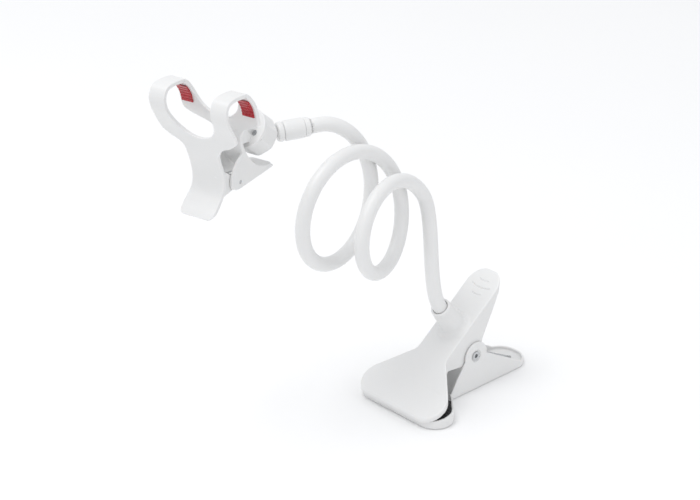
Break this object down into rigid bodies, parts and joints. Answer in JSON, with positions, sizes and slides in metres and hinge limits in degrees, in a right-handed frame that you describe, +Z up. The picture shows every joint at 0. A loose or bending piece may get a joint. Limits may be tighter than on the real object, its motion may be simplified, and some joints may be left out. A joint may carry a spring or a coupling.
{
  "type": "desk phone holder",
  "caption": "White plastic desk phone holder: a wide spring clamp for a table edge, a flexible neck bent into two loops, a ball joint and a sprung phone jaw with red grips.",
  "frame": {"origin": "middle of the desk clamp's jaws, at the height where their lips meet, 14 mm behind the upper jaw's front edge", "axes": "+X along the lips of the desk clamp, -Y out of its mouth away from the handles, +Z up"},
  "size_m": [0.1475, 0.2775, 0.2732],
  "materials": {
    "white_plastic": "satin moulded",
    "black_rubber": "matte ribbed",
    "steel": "bright drawn",
    "core_metal": "plain drawn",
    "red_grip": "glossy silicone"
  },
  "bodies": {
    "arm": {"clamp_upper_arm": "white_plastic", "clamp_upper_pad": "black_rubber", "neck_screw": "steel", "gooseneck_sleeve": "white_plastic", "gooseneck_core": "core_metal", "neck_ferrule": "white_plastic", "neck_sleeve": "white_plastic", "stem_collar": "white_plastic"},
    "clamp_lower": {"clamp_lower_arm": "white_plastic", "clamp_pivot_pin": "steel", "clamp_lower_pad": "black_rubber", "clamp_spring": "steel"},
    "ball": {"ball_stem": "white_plastic"},
    "nut": {"lock_nut": "white_plastic"},
    "rear_jaw": {"rear_jaw": "white_plastic", "ball_socket": "white_plastic", "flange_screw_left": "steel", "flange_screw_right": "steel", "jaw_pivot_pin": "steel", "rear_pad_left": "red_grip", "rear_pad_right": "red_grip", "jaw_spring": "steel"},
    "front_jaw": {"front_jaw": "white_plastic", "front_pad_left": "red_grip", "front_pad_right": "red_grip"}
  },
  "joints": [
    {"name": "desk_clamp_hinge", "type": "hinge", "parent": "arm", "child": "clamp_lower", "pos_m": [0, 0.059, 0.0237], "axis": [1, 0, 0], "range_deg": [0, 45], "stiffness_Nm_per_rad": 1.5, "springref_deg": -28.65, "deforming": ["clamp_spring"]},
    {"name": "stem_twist", "type": "hinge", "parent": "arm", "child": "ball", "pos_m": [-0.08133, -0.06961, 0.2107], "axis": [0.398, 0.9161, 0.048], "range_deg": [-90, 90]},
    {"name": "ball_tilt", "type": "hinge", "parent": "ball", "child": "nut", "pos_m": [-0.08133, -0.06961, 0.2107], "axis": [0.7534, -0.2966, -0.5868], "range_deg": [0, 60]},
    {"name": "head_spin", "type": "hinge", "parent": "nut", "child": "rear_jaw", "pos_m": [-0.08133, -0.06961, 0.2107], "axis": [-0.1773, 0.7678, -0.6157], "range_deg": [-60, 90]},
    {"name": "phone_jaw_hinge", "type": "hinge", "parent": "rear_jaw", "child": "front_jaw", "pos_m": [-0.0733, -0.1044, 0.19], "axis": [0.9744, 0.225, 0], "range_deg": [0, 35], "stiffness_Nm_per_rad": 0.3, "springref_deg": -28.65, "deforming": ["jaw_spring"]}
  ]
}
